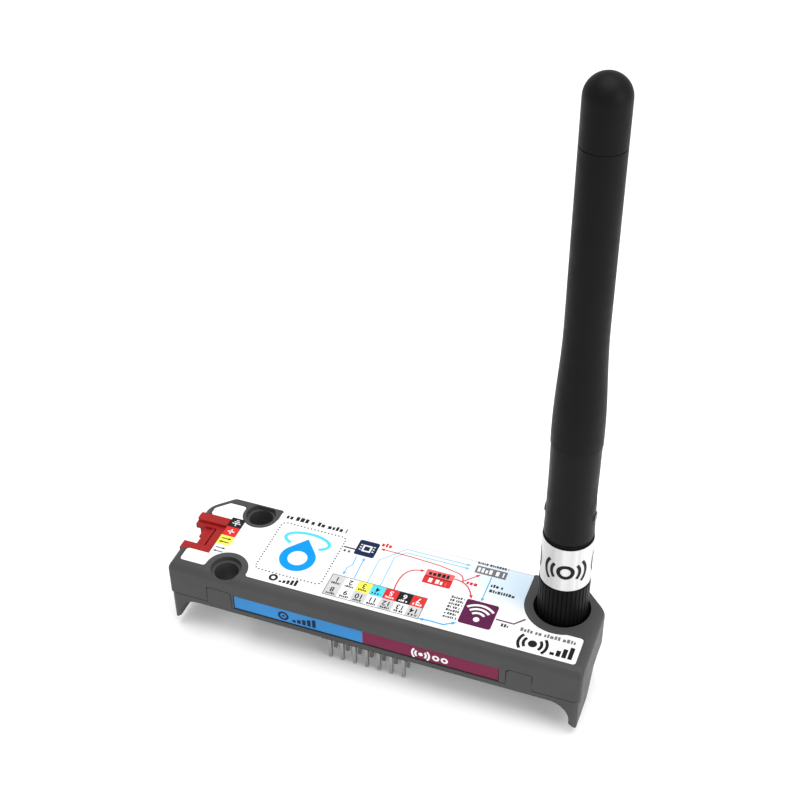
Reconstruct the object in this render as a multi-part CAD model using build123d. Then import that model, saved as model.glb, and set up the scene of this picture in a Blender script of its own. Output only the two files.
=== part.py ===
from build123d import *
import math
import os

# Plug-on radio expansion module with a swivelling, tilting antenna.
# Millimetres. X runs along the body from the port to the antenna, Y from its front to its back, Z up.
# The origin is the middle of the pin header, on the underside of the cover.

# Body
length = 83.0
width = 21.4
height = 9.1
header_from_left = 40.25
header_from_front = 3.87
parting_z = 1.3
wall = 1.2
roof = 1.4
front_edge_radius = 2.0
end_edge_radius = 1.0
front_corner_radius = 1.5
back_chamfer = 4.5
back_corner_radius = 1.0

# Cover
floor_thickness = 0.8
end_step = 0.35
lip_thickness = 0.8
lip_height = 1.6
lip_gap = 0.1
lip_length = 8.0
lips_from_left = (23.5, 41.5, 53.5)
fin_depth = 5.9
fin_foot = 1.2
fin_shank = 1.5
fin_toe_rise = 1.1
fin_cove_radius = 4.1
fin_tip_radius = 0.4
fin_reach = 7.9
fin_slope_end = 13.0

# Snap tabs and the strip recess in the front wall
tab_width = 5.2
tab_top_z = 5.2
tab_thickness = 0.7
tab_gap = 0.06
tab_inner_radius = 0.9
tab_outer_radius = 0.3
left_tab_from_end = 7.9
right_tab_from_end = 9.0
catch_radius = 0.25
catch_z = 4.1
strip_from_left = 13.76
strip_from_right = 15.62
strip_split_from_left = 40.49
strip_bottom_z = 1.5
strip_top_z = 4.6
strip_thickness = 0.25
strip_sink = 0.1
strip_gap = 0.12

# Stepped holes for round building pegs
hole_from_left = 11.27
hole_from_side = 2.7
hole_bore = 4.8
counterbore = 6.0
counterbore_depth = 1.0
boss_wall = 1.2
counterbore_web = 0.35

# Label
label_thickness = 0.2
label_recess = 0.3
label_gap = 0.1
label_corner = 0.6
label_left = 1.6
label_right = 2.0
label_front = 1.95
label_back = 0.15
label_chamfer_inset = 0.7
near_cutout_radius = 4.3
far_cutout_radius = 3.7
far_cutout_right = 15.1
left_piece_back = 1.5
well_margin = 1.75
well_cutout_front = 8.5

# Port
port_overhang = 0.35
port_depth = 6.5
port_width = 10.12
port_from_front = 5.38
port_front_arm = 1.6
port_back_arm = 1.8
port_rear = 1.6
port_floor_z = 3.4
port_ledge = 0.65
port_ledge_z = 7.6
port_ledge_width = 4.9
port_gap = 0.1
contact_count = 4
contact_pitch = 2.0
contact_side = 0.5
contact_z = 4.5
contact_inset = 1.2
contact_foot = 0.9
contact_foot_height = 0.3

# Board and what stands on it
board_thickness = 1.2
board_inset = 1.5
board_gap = 0.3
pin_pitch = 2.54
pin_columns = 7
pin_rows = 2
pin_side = 0.64
pin_tip_z = -7.8
pin_tail = 1.2
pin_hole = 1.0
pin_tip_chamfer = 0.18
header_base_height = 2.54
header_gap = 0.15
header_notch = 0.35
patch_side = 12.0
patch_height = 4.0
patch_from_left = 23.2
patch_from_front = 11.57
plate_side = 10.4
plate_thickness = 0.1
shield_length = 14.0
shield_width = 11.0
shield_height = 2.4
shield_sheet = 0.2
shield_from_left = 52.0
shield_from_front = 11.8
receiver_side = 5.0
receiver_height = 0.9
receiver_from_left = 36.5
receiver_from_front = 13.0
expander_side = 4.0
expander_height = 0.8
expander_from_left = 12.4
expander_from_front = 9.4
regulator_length = 2.9
regulator_width = 1.6
regulator_height = 1.1
regulator_from_left = 34.5
regulator_from_front = 8.6
inductor_side = 4.0
inductor_height = 2.2
inductor_corner = 0.8
inductor_from_left = 63.5
inductor_from_front = 6.4
crystal_length = 3.2
crystal_width = 2.5
crystal_height = 0.8
crystal_places = ((38.6, 8.4), (62.6, 11.6))
chip_length = 1.0
chip_width = 0.5
chip_height = 0.5
chip_count = 6
chip_pitch = 1.6
chip_rows = ((15.6, 4.2), (36.0, 16.6))

# Cover screws
screw_from_back = 3.1
screws_from_left = (32.5, 62.5)
screw_shank = 1.9
screw_head = 3.7
screw_length = 5.6
screw_gap = 0.05
screw_socket = 1.3
screw_socket_depth = 0.45
post_radius = 1.9
post_floor = 1.2

# Ribs that hold the board down
rib_thickness = 1.0
rib_reach = 1.5
ribs_from_left = (20.5, 57.0)

# Well and coaxial jack
well_from_right = 8.0
well_from_front = 15.1
well_radius = 5.4
well_wall = 0.95
well_floor_z = 4.6
well_floor = 0.8
jack_side = 6.35
jack_flange = 1.7
jack_barrel = 6.35
jack_top_z = 13.5
jack_bore = 4.2
jack_insulator_recess = 0.6
jack_contact = 1.2
jack_contact_bore = 0.95
jack_contact_depth = 3.0
jack_barrel_gap = 0.25

# Coupling nut and ferrule
nut_diameter = 9.6
nut_bottom_z = 5.0
nut_top_z = 17.7
nut_lip = 1.5
nut_chamfer = 0.3
knurl_count = 36
knurl_depth = 0.16
knurl_width = 0.42
running_gap = 0.05
ferrule_stem = 4.4
ferrule_collar = 2.5
ferrule_bore = 2.0
ferrule_seat = 1.4
antenna_pin = 0.8
antenna_pin_reach = 2.4
face_gap = 0.1

# Hinge
base_top_z = 28.4
base_collar_z = 27.9
base_collar_radius = 4.4
ring_diameter = 9.5
ring_thickness = 0.1
ring_edge = 0.1
pin_z = 33.2
hinge_pin_diameter = 2.1
hinge_pin_proud = 0.13
hinge_pin_chamfer = 0.15
tongue_thickness = 3.6
tongue_radius = 2.8
tongue_side_gap = 0.1
tongue_top_gap = 0.2
sleeve_bottom_z = 28.8
sleeve_top_z = 49.3
sleeve_bottom_radius = 4.6
sleeve_waist_radius = 4.41
sleeve_waist_z = 41.5
sleeve_top_radius = 4.46
spigot_radius = 3.3
spigot_height = 3.0

# Whip
whip_foot_radius = 4.56
whip_flare_bottom_z = 51.7
whip_flare_top_z = 73.3
whip_radius = 3.77
whip_bore = 4.6
cap_seam_z = 105.5
cap_dome_z = 113.13
cap_plug = 3.0
seam_chamfer = 0.12
rod_diameter = 2.0
rod_depth = 10.5
rod_top_gap = 3.6

# Places worked out from the sizes above
left = -header_from_left
right = left + length
front = -header_from_front
back = front + width
board_z = floor_thickness
board_top_z = board_z + board_thickness
ceiling_z = height - roof
hole_x = left + hole_from_left
hole_ys = (front + hole_from_side, back - hole_from_side)
boss_radius = hole_bore / 2 + boss_wall
well_x = right - well_from_right
well_y = front + well_from_front
port_x = left - port_overhang
port_y = front + port_from_front
port_back_y = port_y + port_width
port_rear_x = port_x + port_depth
screw_y = back - screw_from_back
nut_bore_radius = jack_barrel / 2 + running_gap
ring_radius = ring_diameter / 2
base_radius = ring_radius - ring_thickness
base_bottom_z = nut_top_z + face_gap
far = 4 * length

low_corner = (Align.MIN, Align.MIN, Align.MIN)
on_floor = (Align.CENTER, Align.CENTER, Align.MIN)


def box_between(x0, x1, y0, y1, z0, z1):
    """A box given by its faces."""
    return Pos(x0, y0, z0) * Box(x1 - x0, y1 - y0, z1 - z0, align=low_corner)


def rectangle_between(x0, x1, y0, y1):
    """A flat rectangle given by its edges."""
    return Pos(x0, y0) * Rectangle(x1 - x0, y1 - y0, align=low_corner[:2])


def post(x, y, radius, z0, z1):
    """A round post or hole standing on Z."""
    return Pos(x, y, z0) * Cylinder(radius, z1 - z0, align=on_floor)


def plan_outline(inset):
    """The body seen from above: two round corners in front and two chamfered ones behind."""
    x0, x1 = left + inset, right - inset
    y0, y1 = front + inset, back - inset
    leg = back_chamfer - inset * (2 - math.sqrt(2))
    outline = make_face(
        Polyline(
            (x0, y0), (x1, y0), (x1, y1 - leg), (x1 - leg, y1), (x0 + leg, y1), (x0, y1 - leg), close=True
        )
    )
    corners = outline.vertices().sort_by(Axis.Y)
    outline = fillet(corners[:2], max(front_corner_radius - inset, 0.3))
    corners = outline.vertices().filter_by(lambda v: v.Y > y1 - leg - 0.1)
    return fillet(corners, back_corner_radius)


def prism(face, z0, z1):
    """A flat face made into an upright prism."""
    return extrude(Pos(0, 0, z0) * face, z1 - z0)


def rounded_body(inset, bottom_z):
    """The outer form above bottom_z, with its top edges rounded in front and at both ends."""
    form = prism(plan_outline(inset), bottom_z, height)
    across = Pos(0, front + front_edge_radius, height - front_edge_radius) * Rot(0, 90, 0)
    corner = Pos(0, front, height) * Box(far, 2 * front_edge_radius, 2 * front_edge_radius)
    form -= corner - across * Cylinder(front_edge_radius, far)
    for x, inward in ((left, 1), (right, -1)):
        along = Pos(x + inward * end_edge_radius, 0, height - end_edge_radius) * Rot(90, 0, 0)
        corner = Pos(x, 0, height) * Box(2 * end_edge_radius, far, 2 * end_edge_radius)
        form -= corner - along * Cylinder(end_edge_radius, far)
    return form


def port_rectangle(gap):
    """The notch that the port takes out of the label, shrunk by gap."""
    return rectangle_between(left - 1, port_rear_x + label_gap - gap, port_y - label_gap + gap, port_back_y + label_gap - gap)


def label_face(gap):
    """The label seen from above, grown by gap on every side."""
    x0, x1 = left + label_left - gap, right - label_right + gap
    y0, y1 = front + label_front - gap, back - label_back + gap
    chamfer_y = back - back_chamfer + x0 - left - (label_chamfer_inset - gap) * math.sqrt(2)
    chamfer_x = x0 + y1 - chamfer_y
    face = make_face(Polyline((x0, y0), (x1, y0), (x1, y1), (chamfer_x, y1), (x0, chamfer_y), close=True))
    near_y, far_y = hole_ys
    clear_x = left + far_cutout_right - gap
    clear_y = back - left_piece_back + gap
    well_cut = well_radius + well_margin - gap
    face -= port_rectangle(gap)
    face -= Pos(hole_x, near_y) * Circle(near_cutout_radius - gap)
    face -= Pos(hole_x, far_y) * Circle(far_cutout_radius - gap)
    face -= rectangle_between(left - 1, clear_x, clear_y, back + 1)
    face -= rectangle_between(hole_x, clear_x, far_y, back + 1)
    face -= Pos(well_x, well_y) * Circle(well_cut)
    face -= rectangle_between(well_x - well_cut, right + 1, well_y, back + 1)
    return face - rectangle_between(well_x, right + 1, front + well_cutout_front + gap, back + 1)


def label_outline(gap):
    """The label outline with all its corners rounded."""
    face = offset(label_face(gap), -label_corner, kind=Kind.ARC)
    face = offset(face, 2 * label_corner, kind=Kind.ARC)
    face = offset(face, -label_corner, kind=Kind.ARC)
    return face - port_rectangle(gap)


def front_tab_spans():
    """Left and right edges of both snap tabs, each with the side that has the larger corner round."""
    left_tab = left + left_tab_from_end
    right_tab = right - right_tab_from_end - tab_width
    return ((left_tab, left_tab + tab_width, True), (right_tab, right_tab + tab_width, False))


def tab_prism(x0, x1, inner_is_right, gap, depth):
    """A snap tab in the front wall, with its round side catches."""
    bottom = floor_thickness
    profile = Pos(x0 - gap, bottom) * Rectangle(
        x1 - x0 + 2 * gap, tab_top_z + gap - bottom, align=(Align.MIN, Align.MIN)
    )
    top = profile.vertices().sort_by(Axis.Y)[-2:].sort_by(Axis.X)
    outer, inner = (top[0], top[1]) if inner_is_right else (top[1], top[0])
    profile = fillet([inner], tab_inner_radius)
    outer = profile.vertices().sort_by(lambda v: (outer.center() - v.center()).length)[0]
    profile = fillet([outer], tab_outer_radius)
    for x in (x0 - gap, x1 + gap):
        profile += Pos(x, catch_z) * Circle(catch_radius)
    return extrude(Plane.XZ.offset(-front) * profile, -depth)


def hole_cuts(bottom_z):
    """Both through bores with the counterbores in the top face."""
    cuts = []
    for y in hole_ys:
        cuts.append(post(hole_x, y, hole_bore / 2, bottom_z, height + 1))
        cuts.append(post(hole_x, y, counterbore / 2, height - counterbore_depth, height + 1))
    return cuts


def build_top_housing():
    """The moulded shell, open underneath."""
    shell = rounded_body(0, parting_z)
    shell -= prism(plan_outline(wall), parting_z - 1, ceiling_z)
    inside = rounded_body(wall + lip_gap, floor_thickness)
    bosses = [post(hole_x, y, boss_radius, floor_thickness, height) for y in hole_ys]
    for boss in bosses:
        shell += boss & inside
        shell += boss & rounded_body(0, parting_z)
    for x in screws_from_left:
        shell += post(left + x, screw_y, post_radius, floor_thickness, ceiling_z)
    well_outside = well_radius + well_wall
    tube = post(well_x, well_y, well_outside, well_floor_z - well_floor, height)
    shell += tube & rounded_body(0, parting_z)
    for x in ribs_from_left:
        rib_x = left + x - rib_thickness / 2
        rib_y = front + wall
        shell += box_between(rib_x, rib_x + rib_thickness, rib_y, rib_y + rib_reach, board_top_z, ceiling_z)
    for cut in hole_cuts(floor_thickness - 1):
        shell -= cut
    for x in screws_from_left:
        shell -= post(left + x, screw_y, screw_shank / 2 + screw_gap, floor_thickness - 1, ceiling_z - post_floor)
    shell -= post(well_x, well_y, well_radius, well_floor_z, height + 1)
    shell -= post(well_x, well_y, jack_barrel / 2 + jack_barrel_gap, 0, height)
    open_x0 = left + far_cutout_right - label_gap
    open_x1 = well_x - well_radius - well_margin + label_gap
    recess = label_outline(label_gap) + rectangle_between(open_x0, open_x1, back - width / 4, back + 1)
    shell -= prism(recess, height - label_recess, height + 1)
    shell -= box_between(
        left - 1,
        port_rear_x + port_gap,
        port_y - port_gap,
        port_back_y + port_gap,
        board_top_z,
        height + 1,
    )
    for x0, x1, inner_is_right in front_tab_spans():
        shell -= tab_prism(x0, x1, inner_is_right, tab_gap, tab_thickness + tab_gap)
    shell -= box_between(
        left + strip_from_left - strip_gap,
        right - strip_from_right + strip_gap,
        front - 1,
        front + strip_sink + strip_thickness,
        parting_z - 1,
        strip_top_z + strip_gap,
    )
    return shell


def fin_profile(mirror_at_right):
    """A fin seen from the front: a shank with a cove up to the cover and a bevelled toe."""
    points = [
        (0, floor_thickness),
        (0, -fin_depth),
        (fin_foot / 4, -fin_depth),
        (fin_shank, -fin_depth + fin_toe_rise),
        (fin_shank, -fin_cove_radius),
    ]
    edges = [Line(a, b) for a, b in zip(points, points[1:])]
    cove_end = (fin_shank + fin_cove_radius, 0)
    edges.append(CenterArc((cove_end[0], -fin_cove_radius), fin_cove_radius, 90, 90))
    edges.append(Line(cove_end, (cove_end[0], floor_thickness)))
    edges.append(Line((cove_end[0], floor_thickness), points[0]))
    face = make_face(Wire(edges))
    tips = face.vertices().sort_by(Axis.Y)[:2].sort_by(Axis.X)
    face = fillet(tips[:1], fin_tip_radius / 2)
    if mirror_at_right:
        return Pos(right - end_step, 0) * mirror(face, Plane.YZ)
    return Pos(left + end_step, 0) * face


def build_bottom_cover():
    """The tray that closes the shell, with its tabs, lip, fins and header opening."""
    ends = box_between(left + end_step, right - end_step, front, back, -fin_depth, parting_z)
    cover = prism(plan_outline(0), 0, parting_z) & ends
    cover -= prism(plan_outline(wall), floor_thickness, parting_z + 1)
    side = make_face(
        Polyline(
            (front, floor_thickness),
            (front, -fin_depth),
            (front + fin_reach, -fin_depth),
            (front + fin_slope_end, 0),
            (front + fin_slope_end, floor_thickness),
            close=True,
        )
    )
    reach = extrude(Plane.YZ * side, far, both=True) & prism(plan_outline(0), -far, floor_thickness)
    for mirror_at_right in (False, True):
        fin = extrude(Plane.XZ * fin_profile(mirror_at_right), far, both=True)
        cover += fin & reach
    lip_y = back - wall - lip_gap
    for x in lips_from_left:
        lip_x = left + x - lip_length / 2
        cover += box_between(
            lip_x, lip_x + lip_length, lip_y - lip_thickness, lip_y, 0, floor_thickness + lip_height
        )
    for x0, x1, inner_is_right in front_tab_spans():
        cover += tab_prism(x0, x1, inner_is_right, 0, tab_thickness)
    web = box_between(left, right, front + counterbore_web, back - counterbore_web, -1, floor_thickness)
    for y in hole_ys:
        cover -= post(hole_x, y, hole_bore / 2, -1, height)
        cover -= post(hole_x, y, counterbore / 2, -1, floor_thickness) & web
    for x in screws_from_left:
        cover -= Pos(left + x, screw_y, 0) * Cone(
            screw_head / 2 + screw_gap, screw_shank / 2 + screw_gap, floor_thickness, align=on_floor
        )
    base_x = pin_columns * pin_pitch / 2 + header_gap
    base_y = pin_rows * pin_pitch / 2 + header_gap
    return cover - box_between(-base_x, base_x, -base_y, base_y, -1, floor_thickness + 1)


def build_board():
    """The circuit board, cut round the hole bosses and the screw posts."""
    y1 = back - wall - lip_gap - lip_thickness - board_gap
    board = prism(plan_outline(board_inset), board_z, board_top_z)
    board &= box_between(left, right, front, y1, 0, height)
    for y in hole_ys:
        board -= post(hole_x, y, boss_radius + board_gap, 0, height)
    for x in screws_from_left:
        board -= post(left + x, screw_y, post_radius + board_gap, 0, height)
    for x, y in pin_places():
        board -= post(x, y, pin_hole / 2, 0, height)
    board -= post(well_x, well_y, jack_contact / 2 + running_gap, 0, height)
    return board


def pin_places():
    """Centres of the header pins."""
    places = []
    for column in range(pin_columns):
        for row in range(pin_rows):
            x = (column - (pin_columns - 1) / 2) * pin_pitch
            y = (row - (pin_rows - 1) / 2) * pin_pitch
            places.append((x, y))
    return places


def build_header_pins():
    """Square pins with bevelled tips."""
    pin_height = board_top_z + pin_tail - pin_tip_z
    pin = Pos(0, 0, pin_tip_z) * Box(pin_side, pin_side, pin_height, align=on_floor)
    pin = chamfer(pin.faces().sort_by(Axis.Z)[0].edges(), pin_tip_chamfer)
    return Compound(children=[Pos(x, y, 0) * pin for x, y in pin_places()])


def build_header_base():
    """The header's plastic strip, notched between its columns."""
    base_width = pin_rows * pin_pitch
    base = Pos(0, 0, board_z - header_base_height) * Box(
        pin_columns * pin_pitch, base_width, header_base_height, align=on_floor
    )
    for gap in range(1, pin_columns):
        x = (gap - pin_columns / 2) * pin_pitch
        for y in (-base_width / 2, base_width / 2):
            notch = Pos(x, y, board_z - header_base_height) * Rot(0, 0, 45)
            base -= notch * Box(header_notch, header_notch, header_base_height, align=on_floor)
    for x, y in pin_places():
        base -= Pos(x, y, 0) * Box(pin_side, pin_side, far)
    return base


def contact_ys():
    """Centres of the port contacts across the port."""
    middle = (port_y + port_front_arm + port_back_y - port_back_arm) / 2
    return [middle + (i - (contact_count - 1) / 2) * contact_pitch for i in range(contact_count)]


def build_port_socket():
    """The red port: two arms and a rear wall round a cavity open to the left and above."""
    body = box_between(port_x, port_rear_x, port_y, port_back_y, board_top_z, height)
    cavity_back = port_back_y - port_back_arm
    cavity_front = port_y + port_front_arm
    rear_x = port_rear_x - port_rear
    body -= box_between(port_x - 1, rear_x, cavity_front, cavity_back, port_floor_z, height + 1)
    body += box_between(
        rear_x - port_ledge, rear_x, cavity_front, cavity_front + port_ledge_width, board_top_z, port_ledge_z
    )
    for y in contact_ys():
        body -= Pos(rear_x, y, contact_z) * Box(port_depth, contact_side, contact_side)
    return body


def build_port_contacts():
    """Four bent contacts through the port's rear wall, with their feet on the board."""
    half = contact_side / 2
    leg_x = port_rear_x + contact_side
    contacts = []
    for y in contact_ys():
        bar = box_between(port_x + contact_inset, leg_x, y - half, y + half, contact_z - half, contact_z + half)
        leg = box_between(leg_x - half, leg_x + half, y - half, y + half, board_top_z, contact_z + half)
        foot_end = leg_x + contact_foot
        foot = box_between(leg_x, foot_end, y - half, y + half, board_top_z, board_top_z + contact_foot_height)
        contacts.append(bar + leg + foot)
    return Compound(children=contacts)


def on_board(from_left, from_front, size_x, size_y, size_z):
    """A rectangular component standing on the board."""
    return Pos(left + from_left, front + from_front, board_top_z) * Box(size_x, size_y, size_z, align=on_floor)


def build_shield():
    """A folded metal can with its open side on the board."""
    can = on_board(shield_from_left, shield_from_front, shield_length, shield_width, shield_height)
    inner_length = shield_length - 2 * shield_sheet
    inner_width = shield_width - 2 * shield_sheet
    return can - on_board(
        shield_from_left, shield_from_front, inner_length, inner_width, shield_height - shield_sheet
    )


def build_inductor():
    """A square moulded inductor with round corners."""
    body = on_board(inductor_from_left, inductor_from_front, inductor_side, inductor_side, inductor_height)
    return fillet(body.edges().filter_by(Axis.Z), inductor_corner)


def build_crystals():
    """Two ceramic crystal cans."""
    cans = []
    for x, y in crystal_places:
        cans.append(on_board(x, y, crystal_length, crystal_width, crystal_height))
    return Compound(children=cans)


def build_chips():
    """Rows of small two-ended components."""
    chips = []
    for x, y in chip_rows:
        for i in range(chip_count):
            chips.append(on_board(x + i * chip_pitch, y, chip_width, chip_length, chip_height))
    return Compound(children=chips)


def build_screws():
    """Countersunk screws with a six-sided socket."""
    head = Cone(screw_head / 2, screw_shank / 2, floor_thickness, align=on_floor)
    shank = Cylinder(screw_shank / 2, screw_length, align=on_floor)
    socket = extrude(RegularPolygon(screw_socket / 2, 6), screw_socket_depth)
    screw = head + shank - socket
    return Compound(children=[Pos(left + x, screw_y, 0) * screw for x in screws_from_left])


def build_jack_body():
    """A square flange on the board and the threaded barrel up through the well floor."""
    body = Pos(well_x, well_y, board_top_z) * Box(jack_side, jack_side, jack_flange, align=on_floor)
    body += post(well_x, well_y, jack_barrel / 2, board_top_z, jack_top_z)
    return body - post(well_x, well_y, jack_bore / 2, 0, far)


def build_jack_insulator():
    """The plastic filling of the barrel."""
    filling = post(well_x, well_y, jack_bore / 2, board_top_z, jack_top_z - jack_insulator_recess)
    return filling - post(well_x, well_y, jack_contact / 2, 0, far)


def build_jack_contact():
    """The centre contact, with a bore for the antenna's pin."""
    top = jack_top_z - jack_insulator_recess
    contact = post(well_x, well_y, jack_contact / 2, board_z, top)
    return contact - post(well_x, well_y, jack_contact_bore / 2, top - jack_contact_depth, far)


def build_nut():
    """The knurled nut, with a lip at its top that holds the ferrule."""
    radius = nut_diameter / 2
    nut_height = nut_top_z - nut_bottom_z
    nut = Pos(well_x, well_y, nut_bottom_z) * Cylinder(radius, nut_height, align=on_floor)
    nut = chamfer(nut.edges().filter_by(GeomType.CIRCLE), nut_chamfer)
    groove = make_face(
        Polyline(
            (radius - knurl_depth, 0), (radius + 0.1, -knurl_width / 2), (radius + 0.1, knurl_width / 2), close=True
        )
    )
    grooves = [Rot(0, 0, 360 / knurl_count * i) * groove for i in range(knurl_count)]
    cutter = extrude(Sketch() + grooves, nut_height)
    nut -= Pos(well_x, well_y, nut_bottom_z) * cutter
    nut -= post(well_x, well_y, nut_bore_radius, 0, nut_top_z - nut_lip)
    return nut - post(well_x, well_y, ferrule_stem / 2 + running_gap, 0, far)


def build_ferrule():
    """The plug's outer contact: a collar held under the nut's lip and a stem into the hinge base."""
    collar_top = nut_top_z - nut_lip - face_gap
    collar_radius = nut_bore_radius - running_gap
    ferrule = post(well_x, well_y, collar_radius, collar_top - ferrule_collar, collar_top)
    ferrule += post(well_x, well_y, ferrule_stem / 2, collar_top, base_bottom_z + ferrule_seat)
    return ferrule - post(well_x, well_y, ferrule_bore / 2, 0, far)


def build_ferrule_insulator():
    """The plastic sleeve inside the ferrule."""
    bottom = nut_top_z - nut_lip - face_gap - ferrule_collar
    sleeve = post(well_x, well_y, ferrule_bore / 2, bottom, base_bottom_z + ferrule_seat)
    return sleeve - post(well_x, well_y, antenna_pin / 2, 0, far)


def build_antenna_contact():
    """The pin that enters the jack's contact."""
    bottom = jack_top_z - jack_insulator_recess - antenna_pin_reach
    return post(well_x, well_y, antenna_pin / 2, bottom, base_bottom_z + ferrule_seat)


def along_x(radius, half_length, z):
    """A round bar or hole on the hinge axis."""
    return Pos(well_x, well_y, z) * Rot(0, 90, 0) * Cylinder(radius, 2 * half_length)


def build_hinge_base():
    """The lower body that swivels in the nut, with the hinge tongue on top."""
    base = post(well_x, well_y, base_radius, base_bottom_z, base_collar_z)
    base = chamfer(base.edges().sort_by(Axis.Z)[:1], nut_chamfer)
    base += post(well_x, well_y, base_collar_radius, base_collar_z, base_top_z)
    half = tongue_thickness / 2
    base += box_between(
        well_x - half,
        well_x + half,
        well_y - tongue_radius,
        well_y + tongue_radius,
        base_collar_z,
        pin_z,
    )
    base += along_x(tongue_radius, half, pin_z)
    base -= along_x(hinge_pin_diameter / 2 + running_gap, far, pin_z)
    return base - post(well_x, well_y, ferrule_stem / 2, 0, base_bottom_z + ferrule_seat)


def build_ring_label():
    """The printed band round the hinge base."""
    z0, z1 = base_bottom_z + ring_edge, base_collar_z - ring_edge
    return post(well_x, well_y, ring_radius, z0, z1) - post(well_x, well_y, base_radius, 0, far)


def turned(profile_edges):
    """A body turned about the antenna's axis from an outline in radius and height."""
    face = make_face(Plane.XZ * Wire(profile_edges))
    return Pos(well_x, well_y, 0) * revolve(face, Axis.Z)


def build_hinge_sleeve():
    """The waisted sleeve, forked over the tongue and open on the side it folds towards."""
    bottom = (sleeve_bottom_radius, sleeve_bottom_z)
    top = (sleeve_top_radius, sleeve_top_z)
    spigot_top_z = sleeve_top_z + spigot_height
    sleeve = turned(
        [
            Line((0, sleeve_bottom_z), bottom),
            ThreePointArc(bottom, (sleeve_waist_radius, sleeve_waist_z), top),
            Line(top, (spigot_radius, sleeve_top_z)),
            Line((spigot_radius, sleeve_top_z), (spigot_radius, spigot_top_z)),
            Line((spigot_radius, spigot_top_z), (0, spigot_top_z)),
            Line((0, spigot_top_z), (0, sleeve_bottom_z)),
        ]
    )
    half = tongue_thickness / 2 + tongue_side_gap
    reach = tongue_radius + tongue_top_gap
    sleeve -= box_between(
        well_x - half, well_x + half, well_y - reach, well_y + far, sleeve_bottom_z - 1, pin_z + reach
    )
    below = box_between(well_x - far, well_x + far, well_y, well_y + far, sleeve_bottom_z - 1, pin_z)
    sleeve -= below - along_x(pin_z - sleeve_bottom_z, far, pin_z)
    sleeve -= along_x(hinge_pin_diameter / 2, far, pin_z)
    return sleeve - post(well_x, well_y, rod_diameter / 2, sleeve_top_z - rod_depth, far)


def build_hinge_pin():
    """The steel pin through the fork and the tongue."""
    half_length = sleeve_bottom_radius - face_gap + hinge_pin_proud
    pin = along_x(hinge_pin_diameter / 2, half_length, pin_z)
    return chamfer(pin.edges().filter_by(GeomType.CIRCLE), hinge_pin_chamfer)


def build_whip_tube():
    """The hollow whip, flared at its foot."""
    foot = (whip_foot_radius, sleeve_top_z)
    flare_bottom = (whip_foot_radius, whip_flare_bottom_z)
    flare_top = (whip_radius, whip_flare_top_z)
    seam_inner = (whip_radius - seam_chamfer, cap_seam_z)
    seam_outer = (whip_radius, cap_seam_z - seam_chamfer)
    tube = turned(
        [
            Line((0, sleeve_top_z), foot),
            Line(foot, flare_bottom),
            Spline(flare_bottom, flare_top, tangents=((0, 1), (0, 1))),
            Line(flare_top, seam_outer),
            Line(seam_outer, seam_inner),
            Line(seam_inner, (0, cap_seam_z)),
            Line((0, cap_seam_z), (0, sleeve_top_z)),
        ]
    )
    tube -= post(well_x, well_y, spigot_radius, 0, sleeve_top_z + spigot_height)
    return tube - post(well_x, well_y, whip_bore / 2, 0, far)


def build_whip_cap():
    """The domed cap with its plug inside the tube."""
    cap = post(well_x, well_y, whip_radius, cap_seam_z, cap_dome_z)
    cap = chamfer(cap.edges().sort_by(Axis.Z)[:1], seam_chamfer)
    dome = Pos(well_x, well_y, cap_dome_z) * Sphere(whip_radius)
    cap += dome & box_between(-far, far, -far, far, cap_dome_z, far)
    return cap + post(well_x, well_y, whip_bore / 2 - running_gap, cap_seam_z - cap_plug, cap_seam_z)


def build_rod():
    """The radiating rod, seated in the sleeve."""
    top = cap_seam_z - cap_plug - rod_top_gap
    return post(well_x, well_y, rod_diameter / 2, sleeve_top_z - rod_depth, top)


def build_strip(x0, x1):
    """A printed strip in the front recess."""
    y = front + strip_sink
    return box_between(x0, x1, y, y + strip_thickness, strip_bottom_z, strip_top_z)


split_x = left + strip_split_from_left
label_z = height - label_recess
patch = on_board(patch_from_left, patch_from_front, patch_side, patch_side, patch_height)
plate = on_board(patch_from_left, patch_from_front, plate_side, plate_side, plate_thickness)

nodes = {
    "top_housing": build_top_housing(),
    "bottom_cover": build_bottom_cover(),
    "top_label": prism(label_outline(0), label_z, label_z + label_thickness),
    "side_strip_blue": build_strip(left + strip_from_left, split_x),
    "side_strip_maroon": build_strip(split_x, right - strip_from_right),
    "circuit_board": build_board(),
    "ceramic_patch": patch,
    "patch_plate": Pos(0, 0, patch_height) * plate,
    "radio_shield": build_shield(),
    "receiver_chip": on_board(
        receiver_from_left, receiver_from_front, receiver_side, receiver_side, receiver_height
    ),
    "expander_chip": on_board(
        expander_from_left, expander_from_front, expander_side, expander_side, expander_height
    ),
    "regulator_chip": on_board(
        regulator_from_left, regulator_from_front, regulator_length, regulator_width, regulator_height
    ),
    "power_inductor": build_inductor(),
    "crystals": build_crystals(),
    "chip_passives": build_chips(),
    "port_socket": build_port_socket(),
    "port_contacts": build_port_contacts(),
    "header_base": build_header_base(),
    "header_pins": build_header_pins(),
    "cover_screws": build_screws(),
    "rf_jack_body": build_jack_body(),
    "rf_jack_insulator": build_jack_insulator(),
    "rf_jack_contact": build_jack_contact(),
    "antenna_nut": build_nut(),
    "antenna_ferrule": build_ferrule(),
    "ferrule_insulator": build_ferrule_insulator(),
    "antenna_contact": build_antenna_contact(),
    "hinge_base": build_hinge_base(),
    "ring_label": build_ring_label(),
    "hinge_sleeve": build_hinge_sleeve(),
    "hinge_pin": build_hinge_pin(),
    "whip_tube": build_whip_tube(),
    "whip_cap": build_whip_cap(),
    "radiator_rod": build_rod(),
}

os.makedirs("parts", exist_ok=True)
for name, solid in nodes.items():
    export_step(solid, f"parts/{name}.step")
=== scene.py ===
import math
import random

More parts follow.
